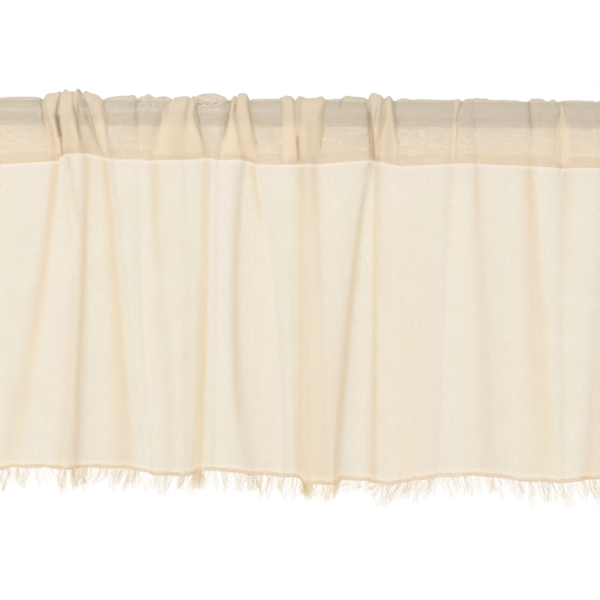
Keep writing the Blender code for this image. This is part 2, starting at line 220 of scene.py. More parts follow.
# The most that slanting threads look wider, and the least of them that faces the front
CLOSEST = 1.06
LEAST_FACING = 0.05

# Painted light and shade: how light the thread is painted, where plain is 1, lighter in the pocket, on
# its back and in the hem, and darker in bunches, and how quickly the pocket's painted light fades up
# and down
POCKET_PAINTED_LIGHT = 1.15
BACK_PAINTED_LIGHT = 1.30
BUNCH_PAINTED_SHADE = 0.925
HEM_PAINTED_LIGHT = 1.16
POCKET_LIGHT_FADE = 3
SEAM_LIGHT_FADE = 60
# Painted light that lightens the slanting panel, and painted shade that darkens the heading on its
# right, over this width in mm, and how quickly the one sets in and the other fades under the seam
SLANT_PAINTED_LIGHT = 0.15
SLANT_START = 4
HEAD_PAINTED_SHADE = 0.025
HEAD_PAINTED_SHADE_WIDTH = 200
HEAD_FADE = 10
# Painted warm shade: how much of it the hem's thread takes, and the added density at which a band's
# thread takes all of it
HEM_WARM_SHADE = 0.4
WARM_SHADE_DENSITY = 0.9
# How uneven the threads are in the panel and on the rod, from this share of the pocket's height; over
# the rod the far greater unevenness stands in for a painted speckle of the threads' shadows on it
PANEL_SLUB = 0.3
ROD_SHADOW_SLUB = 5.0
ROD_SLUB_FROM = 0.75

# Ripples of the heading and the panel: height and pitches along the rod and down the cloth, in mm,
# the seam's share of the heading's, and how quickly the panel's set in
HEAD_RIPPLE = 0.45
HEAD_RIPPLE_PITCH = (5.0, 30.0)
SEAM_RIPPLE_SHARE = 0.35
PANEL_RIPPLE = 0.9
PANEL_RIPPLE_PITCH = (15.0, 90.0)
PANEL_RIPPLE_START = 3
RIPPLE_SEED = 4
NOISE_GRID = (256, 64)

# Soft bands of the panel where the cloth lies closer along its folds, drawn denser partly as real
# closeness and partly as painted shade, and tinted with painted warm shade. Each curves through three
# places at the seam, halfway and at the hem, and spreads from the seam's half widths to its left and
# its right to so many times as much at the hem. Dense is how much denser the cloth is at its start and
# its stop, or looser where it is negative, which lightens it as painted light. Start and stop are
# shares of the panel's height from the seam. Places and widths are in mm.
Band = namedtuple(
    "Band", "x_top x_mid x_foot left right spread dense_start dense_stop start stop", defaults=[0, 1]
)
BANDS = [
    Band(-248, -265, -290, 4, 3, 3, 0.8, 0.3),
    Band(-236, -207, -180, 3, 3, 1, 0.8, 0.2, 0, 0.3),
    Band(-212, -222, -224, 8, 8, 1, 0.2, 0.3),
    Band(-215, -221, -226, 2, 2, 1, 0.5, 0.4),
    Band(-220, -228, -236, 6, 3, 1.5, 0.1, 0.4, 0.3, 1),
    Band(-198, -184, -175, 5, 3, 3, 0.8, 0.5),
    Band(-150, -144, -137, 3, 7, 2.5, 0.5, 0.3, 0, 0.4),
    Band(-138, -146, -142, 7, 9, 0.6, 0.1, 0.1, 0.3, 0.8),
    Band(-97, -96, -98, 6, 4, 1, 0.5, 0.6),
    Band(-112, -102, -107, 5, 6, 1, 0.2, 0.4, 0.3, 1),
    Band(-66, -66, -52, 3, 14, 3, 0.15, 0.1),
    Band(-60, -65, -58, 3, 3, 1.2, 0.4, 0.4, 0.1, 0.9),
    Band(-50, -18, 34, 3, 2, 2.5, 1, 0.4, 0, 0.25),
    Band(-2, 0, 1, 1, 2, 1, 0.4, 0.5),
    Band(11, 13, 16, 3, 2, 1, 0.5, 0.1, 0, 0.25),
    Band(3, 8, 10, 9, 14, 1.5, 0.5, 0.4),
    Band(65, 50, 29, 12, 3, 2, 0.15, 0.4),
    Band(66, 49, 38, 2, 2, 1.5, 0.4, 0.5, 0.05, 1),
    Band(69, -15, -100, 2, 2, 1, 0.9, 0.6, 0, 0.1),
    Band(-80, -76, -70, 12, 8, 1, -0.1, -0.1, 0, 0.8),
    Band(-20, -19, -18, 2, 2, 1, -0.1, -0.1, 0.3, 1),
    Band(-163, -158, -153, 2, 2, 1, -0.1, -0.1, 0.2, 1),
    Band(78, 75, 73, 4, 5, 1.5, 0.3, 0.4),
    Band(74, 75, 76, 2, 2, 1, 0.3, 0.5),
    Band(104, 113, 116, 22, 20, 0.7, 0.15, 0.25, 0.1, 1),
    Band(152, 147, 146, 5, 2, 2, 0.35, 0, 0, 0.4),
    Band(176, 182, 189, 6, 7, 3, 0.25, 0.2),
    Band(175, 177, 180, 2, 3, 1, 0.3, 0, 0, 0.35),
    Band(228, 240, 249, 8, 3, 3, 0.75, 0.25),
    Band(263, 264, 270, 2, 6, 2, 0.7, 0, 0, 0.4),
    Band(294, 298, 290, 4, 8, 1.3, 0, 0.4, 0.2, 1),
]
# The share of the panel's height over which a band starts or stops within the panel
BAND_FADE = 0.12

# Wide stretches of the panel where the thread is rosier, by the amounts under dense
BLUSHES = [
    Band(-268, -240, -212, 16, 16, 1, 0.8, 0.8),
    Band(-148, -144, -140, 10, 10, 1, 0.7, 0.7, 0.3, 0.85),
    Band(-80, -75, -60, 16, 18, 1, 1.2, 0.8, 0, 0.8),
    Band(-30, -25, -22, 20, 24, 1, 0.8, 0.9, 0.6, 1),
    Band(40, 35, 30, 16, 18, 1, 0.3, 0.9, 0.2, 1),
    Band(98, 98, 98, 14, 12, 1, 0.9, 0.7, 0, 0.4),
    Band(125, 126, 127, 24, 24, 1, 0.8, 0.9, 0.2, 1),
    Band(175, 182, 190, 12, 14, 1, 0.8, 0.8),
    Band(228, 232, 240, 9, 9, 1, 0.8, 0.8, 0, 0.7),
    Band(297, 297, 293, 12, 12, 1, 0.8, 0.9),
]

# Rows of the sheet. Rise is a share of the pocket's height, over of the way to the top places and
# fall of the panel's height, all from the seam. Turned is how far back the cloth is turned, in m.
Row = namedtuple("Row", "y z out_y out_z rise over fall back turned")
PANEL_ROWS = 72
POCKET_ROWS = 13
ROD_ROWS = 26
# Width of a column in mm, the fewest between two fold lines, and the points of a path along the cloth
COLUMN_PITCH = 1.95
LEAST_COLUMNS = 4
PATH_POINTS = 6000

# Camera: the middle of the picture, in metres, and how the view is turned, in degrees
PICTURE_MIDDLE = Vector((ROD_MIDDLE, -0.010, -0.187))
PICTURE_WIDTH = 0.600
CAMERA_DISTANCE = 1.9
CAMERA_YAW = 2.3
CAMERA_ROLL = 0.55
SENSOR_WIDTH = 36.0
FLOOR_Z = -1.2
FLOOR_REACH = 2.0

# Light of the surround, and the lamps, in metres and watts
WORLD_LIGHT = 0.85
Lamp = namedtuple("Lamp", "name x y z size power")
LAMPS = [
    Lamp("key", -0.5, -2.4, 0.9, 1.6, 19.0),
    Lamp("fill", 1.9, -2.4, 0.3, 1.6, 6.0),
]

# Weave: the thread's pitch in metres, the share that a thread covers, how far it wanders in pitches,
# and the pitches of that wander across and along it in metres
THREAD_PITCH = 0.00055
THREAD_SHARE = 0.41
THREAD_SWAY = 2.6
SWAY_PITCH = (0.0018, 0.02)
# Length of a thick or thin place in metres, and the noise's step from one thread to the next
SLUB_LENGTH = 0.0018
SLUB_STEP = 0.45
# How much of the light comes through the threads, and the depth of their bumps in metres
CLOTH_GLOW = 0.12
CLOTH_BUMP = 0.0002
YARN_GLOW = 0.0
YARN_BUMP = 0.00002
# Scales of the cloth's and the yarn's mottle, of the yarn's fuzz and of the lines drawn along the rod
CLOTH_MOTTLE = 32.0
YARN_MOTTLE = 90.0
YARN_FUZZ = 2500.0
ROD_DRAWN = (3.0, 900.0, 900.0)
ROD_ROUGHNESS = 0.36
ROD_ROUGHNESS_RANGE = 0.2

# Colours, as linear red, green and blue
CLOTH_LIGHT = (0.836, 0.748, 0.536)
CLOTH_DARK = (0.815, 0.708, 0.498)
# Painted shade of the creases
CREASE_SHADE = (0.42, 0.25, 0.12)
# Painted warm shade of the folds and the hem
FOLD_WARM_SHADE = (0.818, 0.672, 0.484)
ROSE = (0.843, 0.715, 0.540)
YARN_LIGHT = (1.00, 0.92, 0.75)
YARN_DARK = (0.98, 0.83, 0.62)
# Painted warm shade of bundled fringe threads
YARN_WARM_SHADE = (1.00, 0.80, 0.46)
SEWING_LIGHT = (1.00, 0.85, 0.66)
SEWING_DARK = (0.95, 0.77, 0.58)
ROD_LIGHT = (0.75, 0.77, 0.80)
ROD_DARK = (0.60, 0.62, 0.65)
FLOOR_LIGHT = (0.84, 0.83, 0.81)
FLOOR_DARK = (0.80, 0.79, 0.77)

# Fringe. Tufts lie about a pitch apart. A tuft's so many threads start within the spread along the
# hem and end together, lower by a length and further right by a lean. Loose is how far apart their
# tips are, all in mm, and shade warmth how far they take on the painted warm shade of bundled
# threads, from 0 to 1.
Tuft = namedtuple(
    "Tuft", "start stop pitch threads spread lean lengths loose warmth", defaults=[0.0]
)
PLAIN_TUFT = Tuft(-600, 600, 6.5, 8, 8.0, (-6, 6), (14, 25), 1.6)
TUFT_ZONES = [
    Tuft(-300, -294, 2, 5, 3, (-3, 0), (20, 25), 1),
    Tuft(-262, -247, 6, 3, 6, (-3, 3), (8, 15), 1.6),
    Tuft(-244, -237, 2.4, 6, 4, (-1, 3), (20, 26), 1),
    Tuft(-229, -216, 2.1, 6, 4, (-1, 1), (15, 21), 1, 0.6),
    Tuft(-216, -160, 4.2, 8, 7, (-9, -2), (13, 24), 1.8),
    Tuft(-160, -146, 8, 5, 7, (-6, 2), (8, 22), 1.8),
    Tuft(-146, -106, 5, 8, 7, (-8, -1), (12, 24), 1.6),
    Tuft(-106, -93, 2.4, 6, 4, (-3, 3), (16, 21), 1, 0.5),
    Tuft(-52, -38, 2.6, 6, 4, (-2, 3), (11, 17), 1.2, 0.4),
    Tuft(-38, -2, 4.8, 8, 8, (-6, 6), (14, 26), 1.6),
    Tuft(-2, 16, 2.4, 6, 4, (-1, 3), (12, 17), 1.2, 0.5),
    Tuft(16, 25, 3.2, 5, 5, (-3, 3), (10, 18), 2, 0.4),
    Tuft(25, 40, 2.7, 6, 4, (-2, 1), (13, 17), 1.2, 0.6),
    Tuft(40, 76, 2.8, 4, 6, (-5, 5), (6, 12), 4, 0.5),
    Tuft(76, 140, 5, 8, 8, (-9, -2), (12, 25), 1.8),
    Tuft(140, 300, 5.4, 8, 7, (1, 7), (13, 26), 1.6),
]
FRINGE_SEED = 23
FRINGE_STEPS = 12
# The margin at both ends of the hem in metres, and the range of the pitch's share between tufts
FRINGE_MARGIN = 0.002
PITCH_RANGE = (0.6, 1.4)
# The share of threads that hang by themselves, and their share of the tuft's length
STRAY_SHARE = 0.45
STRAY_LENGTHS = (0.5, 1)
# Radii and the sizes of a thread's bends in mm, the tip's share of the radius, the bends' share from
# front to back, and how far the middle of a thread runs ahead
FRINGE_RADII = (0.15, 0.24)
FRINGE_SWAY = np.array([2.2, 1.7, 1.3, 0.8])
TIP_TAPER = 0.6
SWAY_DEPTH = 0.6
THREAD_EASE = 0.18
# How far a tuft's tip and a thread's end lie to the front or back in mm, and how much higher or
# lower the end is, as a share of the length
TIP_DEPTH = 0.8
END_DEPTH = 0.5
END_HEIGHT = 0.12
# The twisted edge in metres, and its strands' offset and radius as shares of its radius
EDGE_STEPS = 1600
EDGE_RADIUS = 0.0004
EDGE_TWIST = 0.0035
STRAND_OFFSET = 0.55
STRAND_SHARE = 0.6

# Stitches in metres, their bulge in radii, and how far they lie over the seam and under the hem's top
STITCH_PITCH = 0.003
STITCH_LENGTH = 0.0021
STITCH_RADIUS = 0.0002
STITCH_STEPS = 5
STITCH_BULGE = 1.6
SEAM_STITCH_RISE = 0.0015
HEM_STITCH_DROP = 0.001

# A tube that runs this steeply to the front or back takes its sides from the rod's direction
STEEP = 0.8

# Sockets of a colour mix node
MIX_SHARE, MIX_FIRST, MIX_SECOND = 0, 6, 7
MIX_RESULT = 2


def smooth(t):
    """An S-curve from 0 to 1."""
    t = np.clip(t, 0, 1)
    return t * t * (3 - 2 * t)


def side_folds(first, last):
    """Plain folds between two places, in mm, for the stretches past the photographed one."""
    folds = []
    pitch = (last - first) / SIDE_FOLD_COUNT
    for i in range(SIDE_FOLD_COUNT):
        side = 1 if i % 2 else -1
        drift = SIDE_FOLD_DRIFT * math.sin(SIDE_FOLD_WAVE * i + first)
        x = first + (i + 0.5) * pitch
        folds.append(
            Fold(
                *[x + share * drift for share in SIDE_FOLD_BEND],
                rod_puff=4.0 + 2.5 * side, seam_puff=2.5 * side, hem_puff=8.5 * side,
                rod_tuck=4.5, seam_tuck=3.0, hem_tuck=1.5, reach=1.0 if i % 3 else 0.5,
                rod_soft=3.0, hem_soft=9.0, lift=2, drop=-1.5 * side,
            )
        )
    return folds


def side_edge(x):
    """A side edge of the cloth, which hangs straight at a place in mm."""
    return Fold(
        x, x, x, x, x,
        rod_puff=1.5, seam_puff=0, hem_puff=0, rod_tuck=0, seam_tuck=0, hem_tuck=0, reach=1,
        rod_soft=3, hem_soft=6, lift=0, drop=0,
    )


def all_folds():
    """The fold lines from left to right, with the cloth's side edges as the first and the last."""
    edge = CLOTH_WIDTH / 2 / MM
    left_folds = side_folds(-edge, SEEN_FOLDS[0].hem - SIDE_FOLD_MARGIN)
    right_folds = side_folds(SEEN_FOLDS[-1].seam + SIDE_FOLD_MARGIN, edge)
    return [side_edge(-edge), *left_folds, *SEEN_FOLDS, *right_folds, side_edge(edge)]


FOLDS = all_folds()
LINES = Fold(*[np.array(values, float) for values in zip(*FOLDS)])


def section_rows():
    """The rows of the sheet: turned hem, panel, pocket, over the rod, down to the seam, turned in."""
    radius = ROD_RADIUS + SHEET_GAP
    foot = math.radians(FOOT_ANGLE)
    foot_y, foot_z = radius * math.cos(foot), radius * math.sin(foot)
    fall_height = SEAM_Z - HEM_Z
    rows = []
    for height, turned in TURNED_ROWS:
        fall = 1 - height / fall_height
        rows.append(Row(0, HEM_Z + height, -1, 0, 0, 0, fall, False, turned * HEM_GAP))
    for i in range(PANEL_ROWS):
        fall = 1 - i / PANEL_ROWS
        rows.append(Row(0, SEAM_Z - fall * fall_height, -1, 0, 0, 0, fall, False, 0))
    for i in range(POCKET_ROWS):
        rise = i / POCKET_ROWS
        z = SEAM_Z + rise * (foot_z - SEAM_Z)
        rows.append(Row(-rise * foot_y, z, -1, 0, rise, 0, 0, False, 0))
    for i in range(ROD_ROWS + 1):
        angle = HEAD_ANGLE + (FOOT_ANGLE - HEAD_ANGLE) * i / ROD_ROWS
        out_y, out_z = math.cos(math.radians(angle)), math.sin(math.radians(angle))
        over = (HEAD_ANGLE - angle) / TOP_TURN
        back = angle < TOP_ANGLE
        rows.append(Row(radius * out_y, radius * out_z, out_y, out_z, 1, over, 0, back, 0))
    for i in reversed(range(POCKET_ROWS)):
        rise = i / POCKET_ROWS
        z = SEAM_Z + rise * (foot_z - SEAM_Z)
        rows.append(Row(rise * foot_y, z, 1, 0, rise, 1, 0, True, 0))
    for height in (ALLOWANCE_FOOT, ALLOWANCE / 2, ALLOWANCE):
        rise = height / (foot_z - SEAM_Z)
        rows.append(Row(rise * foot_y, SEAM_Z + height, 1, 0, rise, 1, 0, True, -ALLOWANCE_GAP))
    return rows


def seam_row(rows):
    """The front row at the seam."""
    return next(row for row in rows if row.fall == 0)


def curved(top, mid, foot, s):
    """A curve through three places, at a share of its height from the top."""
    return top * (1 - s) * (1 - 2 * s) + mid * 4 * s * (1 - s) + foot * s * (2 * s - 1)


def line_places(row):
    """Where each fold line crosses a row, in mm."""
    if row.fall > 0:
        return curved(LINES.seam, LINES.mid, LINES.hem, row.fall)
    over = min(row.over, 1) * row.rise
    foot = LINES.seam + (LINES.foot - LINES.seam) * row.rise
    return foot + (LINES.top - LINES.foot) * over


def line_forms(row):
    """Each fold line's puff, tuck and softness on a row, in mm."""
    s = row.fall
    softer = LINES.hem_soft - LINES.rod_soft
    if s > 0:
        fuller = smooth(PUFF_START + (1 - PUFF_START) * s)
        puff = LINES.seam_puff + (LINES.hem_puff - LINES.seam_puff) * fuller
        tuck = LINES.seam_tuck * (1 - smooth(s / LINES.reach)) + LINES.hem_tuck * smooth(s)
        return puff, tuck, LINES.rod_soft + softer * (SOFT_START + (1 - SOFT_START) * s)
    share = smooth(row.rise)
    puff = LINES.seam_puff + (LINES.rod_puff - LINES.seam_puff) * share
    tuck = LINES.seam_tuck + (LINES.rod_tuck - LINES.seam_tuck) * share
    return puff, tuck, LINES.rod_soft + softer * SOFT_START * (1 - share)


def folded(row, at):
    """How far the cloth stands out on a row, and where it lies along the rod, both in mm."""
    places = line_places(row)
    puff, tuck, soft = line_forms(row)
    left = np.minimum(at.astype(int), len(places) - 2)
    share = at - left
    gap = places[left + 1] - places[left]
    x = places[left] + share * gap
    crown = np.minimum(CROWN_SHARE * gap, ROD_CROWN if row.rise == 1 else FREE_CROWN)
    crown *= np.clip(puff[left] / CROWNED_PUFF, -1, 1)
    out = puff[0] + crown * np.sin(math.pi * share)
    for k in range(1, len(places) - 1):
        t = (x - places[k]) / soft[k]
        out += (puff[k] - puff[k - 1]) * (0.5 + 0.5 * np.sin(math.pi / 2 * np.clip(t, -1, 1)))
        out -= tuck[k] * np.exp(-((t / TUCK_WIDTH) ** 2))
    return out, x


def soft_noise(x, z, pitch_x, pitch_z, seed):
    """Smooth random numbers from -1 to 1 over places in mm."""
    columns, rows = NOISE_GRID
    grid = np.random.default_rng(seed).uniform(-1, 1, NOISE_GRID)
    u = x / pitch_x + columns / 2
    v = z / pitch_z + rows / 2
    i = np.floor(u).astype(int)
    j = np.floor(v).astype(int)
    a, b = smooth(u - i), smooth(v - j)
    low = grid[i % columns, j % rows] * (1 - a) + grid[(i + 1) % columns, j % rows] * a
    high = grid[i % columns, (j + 1) % rows] * (1 - a) + grid[(i + 1) % columns, (j + 1) % rows] * a
    return low * (1 - b) + high * b


def crease_strength(crease, x, z):
    """How strongly a crease marks each place, from 0 to 1."""
    c = crease
    top = (z - c.z_mid) * (z - c.z_foot) / ((c.z_top - c.z_mid) * (c.z_top - c.z_foot))
    mid = (z - c.z_top) * (z - c.z_foot) / ((c.z_mid - c.z_top) * (c.z_mid - c.z_foot))
    foot = (z - c.z_top) * (z - c.z_mid) / ((c.z_foot - c.z_top) * (c.z_foot - c.z_mid))
    line = c.x_top * top + c.x_mid * mid + c.x_foot * foot
    share = np.clip((z - c.z_top) / (c.z_foot - c.z_top), 0, 1)
    ends = smooth(CREASE_START * share) * smooth(CREASE_STOP * (1 - share))
    return ends * np.exp(-(((x - line) / c.width) ** 2))


def band_strength(row, x, bands):
    """How strongly a table's soft bands mark each place of the panel."""
    s = row.fall
    dense = np.zeros(len(x))
    if s == 0:
        return dense
    for b in bands:
        share = np.clip((s - b.start) / (b.stop - b.start), 0, 1)
        strength = b.dense_start + (b.dense_stop - b.dense_start) * share
        if b.start > 0:
            strength *= smooth((s - b.start) / BAND_FADE)
        if b.stop < 1:
            strength *= smooth((b.stop - s) / BAND_FADE)
        line = curved(b.x_top, b.x_mid, b.x_foot, s)
        half = np.where(x < line, b.left, b.right) * (1 + (b.spread - 1) * s)
        dense += strength * np.exp(-(((x - line) / half) ** 2))
    return dense


def crease_fields(row, x, z):
    """The depth, in mm, and the painted shade of the creases of a row."""
    depth, shade = np.zeros(len(x)), np.zeros(len(x))
    if row.fall > 0 or row.back:
        return depth, shade
    for crease in CREASES:
        strength = crease_strength(crease, x, z)
        depth += crease.depth * strength
        shade = np.maximum(shade, crease.shade * strength)
    return depth, shade


def humped(row, x):
    """The humps and dips along the top of the rod, in mm outwards."""
    heights = sum(h.height * np.exp(-(((x - h.x) / h.width) ** 2)) for h in HUMPS)
    return heights * max(row.out_z, 0) ** HUMP_FADE


def fine_relief(row, x, z):
    """The small creases and ripples of a row, in mm outwards."""
    near_rod = smooth(row.rise) if row.fall == 0 else 0
    in_head = HEAD_RIPPLE * (SEAM_RIPPLE_SHARE + (1 - SEAM_RIPPLE_SHARE) * near_rod)
    in_panel = PANEL_RIPPLE * smooth(row.fall * PANEL_RIPPLE_START)
    relief = in_head * soft_noise(x, z, *HEAD_RIPPLE_PITCH, RIPPLE_SEED)
    relief += in_panel * soft_noise(x, z, *PANEL_RIPPLE_PITCH, RIPPLE_SEED + 1)
    return relief - crease_fields(row, x, z)[0]


def cloth_rows(rows, at):
    """The sheet's points, in metres, as a row of points for each row of the section."""
    index = np.arange(len(FOLDS))
    lift = np.interp(at, index, LINES.lift)
    drop = np.interp(at, index, LINES.drop)
    seam_out = folded(seam_row(rows), at)[0]
    surface = []
    for row in rows:
        out, x = folded(row, at)
        on_rod = row.rise > ROD_CLEAR_FROM
        if on_rod:
            out = np.maximum(out, 0)
        if row.back and row.rise < 1:
            out = out * smooth(row.rise) - seam_out * (1 - smooth(row.rise))
        dips = sum(dip.drop * np.exp(-(((x - dip.x) / dip.width) ** 2)) for dip in HEM_DIPS)
        near_seam = (1 - smooth(row.rise * LIFT_FADE[0])) * (1 - smooth(row.fall * LIFT_FADE[1]))
        drops = lift * near_seam - (drop + dips) * min(row.fall, 1) ** 2
        relief = fine_relief(row, x, (row.z + row.out_z * out * MM) / MM) + humped(row, x)
        out = out + (np.maximum(relief, -out) if on_rod else relief)
        y = row.y + row.out_y * out * MM + row.turned
        z = row.z + (row.out_z * out + drops) * MM
        if row.back:
            y += SHEET_GAP * (1 - row.rise)
        surface.append(np.stack([ROD_MIDDLE + x * MM, y, z], axis=1))
    return np.array(surface)


def sheet_columns():
    """Columns closer together near the fold lines."""
    at = []
    for k in range(len(FOLDS) - 1):
        gap = max(LINES.hem[k + 1] - LINES.hem[k], LINES.seam[k + 1] - LINES.seam[k])
        count = max(LEAST_COLUMNS, round(gap / COLUMN_PITCH))
        t = np.arange(count) / count
        at.append(k + t - 0.5 * np.sin(2 * math.pi * t) / (2 * math.pi))
    return np.concatenate([*at, [len(FOLDS) - 1.0]])


def lengths_along(points, axis):
    """Lengths from the first point along an axis of a grid of points."""
    steps = np.linalg.norm(np.diff(points, axis=axis), axis=2)
    start = np.zeros_like(np.take(steps, [0], axis=axis))
    return np.concatenate([start, np.cumsum(steps, axis=axis)], axis=axis)


def bunching(row, x):
    """How much the cloth on the rod is bunched up, from 0 to 1."""
    bunched = np.zeros(len(x))
    if row.fall > 0:
        return bunched
    rise = row.rise
    over = min(row.over, 1) * rise
    upper = smooth((rise - BUNCH_REACH[0]) / BUNCH_REACH[1])
    for b in BUNCHES:
        left = b.left_seam + (b.left_foot - b.left_seam) * rise + (b.left_top - b.left_foot) * over
        right = b.right_seam + (b.right_foot - b.right_seam) * rise
        right += (b.right_top - b.right_foot) * over
        inside = smooth((x - left) / BUNCH_EDGE + 0.5) * smooth((right - x) / BUNCH_EDGE + 0.5)
        bunched += inside * upper
    return np.minimum(bunched, 1)


def normals(points):
    """The cloth's normal at each point."""
    normal = np.cross(np.gradient(points, axis=1), np.gradient(points, axis=0))
    return normal / np.linalg.norm(normal, axis=2, keepdims=True)


def facing(points):
    """How squarely the cloth faces the front at each point, from 0 to 1."""
    return np.abs(normals(points)[..., 1])


def closeness(points):
    """How much closer the upright and the level threads look where the cloth slants."""
    normal = normals(points)
    front = np.maximum(np.abs(normal[..., 1]), LEAST_FACING)
    across = np.hypot(normal[..., 0], front) / front
    upright = np.hypot(normal[..., 2], front) / front
    return np.clip(across, 1, CLOSEST), np.clip(upright, 1, CLOSEST)


def new_object(name, data):
    """An object of the scene, made from its data."""
    obj = bpy.data.objects.new(name, data)
    bpy.context.scene.collection.objects.link(obj)
    return obj


def add_mesh(name, vertices, faces, material):
    """A mesh object from arrays of points and of corner numbers."""
    mesh = bpy.data.meshes.new(name)
    mesh.from_pydata(vertices.tolist(), [], faces.tolist())
    mesh.materials.append(material)
    mesh.shade_smooth()
    return new_object(name, mesh)


def point_values(obj, name, values):
    """Gives each point of a mesh a number that its material reads."""
    numbers = obj.data.attributes.new(name, "FLOAT", "POINT")
    numbers.data.foreach_set("value", values)


def hem_share(row):
    """How far into the turned-up hem a row lies, from 0 to 1."""
    height = (1 - row.fall) * (SEAM_Z - HEM_Z)
    return smooth(2 - height / HEM_HEIGHT) if row.fall > 0 else 0


def row_painted_light(row):
    """How light a row's thread is painted: painted light in the pocket and on its back, where little
    light comes in, and in the hem.
    """
    if row.fall > 0:
        under_seam = (POCKET_PAINTED_LIGHT - 1) * smooth(1 - row.fall * SEAM_LIGHT_FADE)
        return 1 + under_seam + (HEM_PAINTED_LIGHT - 1) * hem_share(row)
    pocket = smooth((1 - row.rise) * POCKET_LIGHT_FADE)
    return BACK_PAINTED_LIGHT if row.back else 1 + (POCKET_PAINTED_LIGHT - 1) * pocket


def row_slub(row):
    """How uneven a row's threads are: far more over the rod, where against the dark rod behind them it
    stands in for a painted speckle of the threads' shadows on it.
    """
    over_rod = smooth((row.rise - ROD_SLUB_FROM) / (1 - ROD_SLUB_FROM)) if row.fall == 0 else 0
    return PANEL_SLUB + (ROD_SHADOW_SLUB - PANEL_SLUB) * over_rod


def by_row(section, value):
    """A value worked out for each row of the section, as a column."""
    return np.array([[value(row)] for row in section])


def thread_places(section, points):
    """Each point's place along the flat cloth's width, from the lengths along the rows."""
    lengths = lengths_along(points, 1)
    lengths *= FLAT_WIDTH / lengths[:, [-1]]
    seam = section.index(seam_row(section))
    own = by_row(section, lambda row: smooth(row.fall))
    return lengths[seam] * (1 - own) + lengths * own


def cloth_fields(section, points):
    """The numbers that the cloth's material reads, by name, for each point."""
    x, z = (points[..., 0] - ROD_MIDDLE) / MM, points[..., 2] / MM
    places = list(zip(section, x))
    bunched = np.array([bunching(*place) for place in places])
    bands = np.array([band_strength(*place, BANDS) for place in places])
    blush = np.array([band_strength(*place, BLUSHES) for place in places])
    shade = np.array([crease_fields(*place)[1] for place in zip(section, x, z)])
    dense = 1 + (BUNCH_DENSITY - 1) * bunched + bands
    across, upright = closeness(points)
    head = by_row(section, lambda row: 1 - smooth(HEAD_FADE * row.fall))
    hem = by_row(section, hem_share)
    # Painted light on the slanting panel, and painted shade toward the heading's right
    slant = by_row(section, lambda row: smooth(SLANT_START * row.fall)) * (1 - facing(points))
    painted_light = by_row(section, row_painted_light) * (1 + SLANT_PAINTED_LIGHT * slant)
    painted_light = painted_light * (1 - HEAD_PAINTED_SHADE * head * smooth(x / HEAD_PAINTED_SHADE_WIDTH + 0.5))
    return {
        "close_across": across * dense,
        "close_along": upright * dense,
        "shade": shade,
        # Painted warm shade along the denser bands and in the hem
        "warm": np.clip(np.maximum(bands / WARM_SHADE_DENSITY, HEM_WARM_SHADE * hem), 0, 1),
        "rosy": np.clip(np.maximum(np.maximum(blush, head), hem), 0, 1),
        # Painted light in the pocket, the hem and on slants, and painted shade in bunches
        "painted_light": painted_light * (1 + (BUNCH_PAINTED_SHADE - 1) * bunched),
        "slub": PANEL_SLUB + (by_row(section, row_slub) - PANEL_SLUB) * (1 - bunched),
    }


def make_sheet(material):
    """The whole cloth as one thin sheet, mapped by its thread lengths, and its length along them."""
    section = section_rows()
    points = cloth_rows(section, sheet_columns())
    rows, columns = points.shape[:2]
    first = np.arange(rows * columns).reshape(rows, columns)
    corners = [first[:-1, :-1], first[:-1, 1:], first[1:, 1:], first[1:, :-1]]
    faces = np.stack(corners, axis=-1).reshape(-1, 4)
    sheet = add_mesh("cloth_sheet", points.reshape(-1, 3), faces, material)
    along = np.median(lengths_along(points, 0), axis=1)
    u = thread_places(section, points)
    v = np.broadcast_to(along[:, None], (rows, columns))
    layer = sheet.data.uv_layers.new(name="threads")
    layer.uv.foreach_set("vector", np.stack([u, v], axis=-1).reshape(-1, 2)[faces.ravel()].ravel())
    for name, values in cloth_fields(section, points).items():
        point_values(sheet, name, values.ravel())
    return sheet, along[-1]


def make_tubes(name, paths, radii, material, sides=3):
    """Thin tubes along paths of points, joined as one mesh. Radii has a radius for each point."""
    count, steps = paths.shape[:2]
    tangent = np.gradient(paths, axis=1)
    tangent /= np.linalg.norm(tangent, axis=2, keepdims=True)
    level = np.abs(tangent[..., [1]]) < STEEP
    side = np.cross(tangent, np.where(level, [0.0, 1.0, 0.0], [1.0, 0.0, 0.0]))
    side /= np.linalg.norm(side, axis=2, keepdims=True)
    other = np.cross(tangent, side)
    turn = 2 * math.pi * np.arange(sides) / sides
    ring = side[:, :, None] * np.cos(turn)[:, None] + other[:, :, None] * np.sin(turn)[:, None]
    vertices = paths[:, :, None] + ring * radii[:, :, None, None]
    index = np.arange(count * steps * sides).reshape(count, steps, sides)
    beside = np.roll(index, -1, axis=2)
    corners = [index[:, :-1], beside[:, :-1], beside[:, 1:], index[:, 1:]]
    faces = np.stack(corners, axis=-1).reshape(-1, 4)
    return add_mesh(name, vertices.reshape(-1, 3), faces, material)


def row_points(row):
    """Points of a row of the cloth, close together along its width."""
    at = np.linspace(0, len(FOLDS) - 1, PATH_POINTS)
    return cloth_rows([row, seam_row(section_rows())], at)[0]


def with_lengths(points):
    """A path: its points, and the length up to each."""
    steps = np.linalg.norm(np.diff(points, axis=0), axis=1)
    return points, np.concatenate([[0], np.cumsum(steps)])


def hem_path():
    """The path along the foot of the hem."""
    return with_lengths(row_points(section_rows()[len(TURNED_ROWS) - 1]))


def on_path(path, lengths):
    """Points of a path at the given lengths along it."""
    points, length = path
    return np.stack([np.interp(lengths, length, points[:, i]) for i in range(3)], axis=-1)


